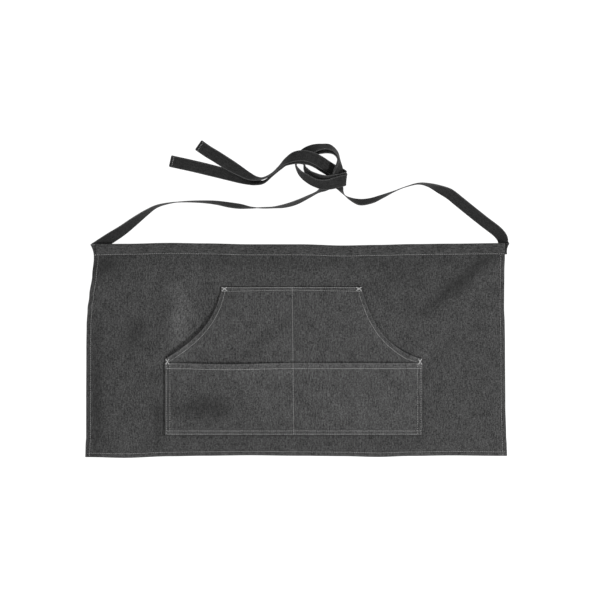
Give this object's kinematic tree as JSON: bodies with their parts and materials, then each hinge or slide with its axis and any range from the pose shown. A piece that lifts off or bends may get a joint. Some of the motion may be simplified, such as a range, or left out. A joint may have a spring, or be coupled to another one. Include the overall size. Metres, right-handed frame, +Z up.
{
  "type": "waist apron",
  "caption": "Dark denim waist apron lying flat, with a kangaroo pocket behind a low front pocket and long waist ties knotted together.",
  "frame": {"origin": "on the floor, at the panel's underside below the middle of the apron", "axes": "+X along the waistband to the wearer's left hand as the picture shows it on the right, +Y from hem to waistband, +Z up from the floor"},
  "size_m": [0.7186, 0.5387, 0.0337],
  "materials": {
    "denim": "matt black denim",
    "denim_band": "matt black denim",
    "denim_pocket": "matt black denim",
    "denim_tie": "matt black denim"
  },
  "bodies": {
    "root": {"panel": "denim", "waistband": "denim_band", "pocket_kangaroo": "denim_pocket", "pocket_front": "denim_pocket", "tie_left": "denim_tie", "tie_right": "denim_tie"}
  },
  "joints": []
}
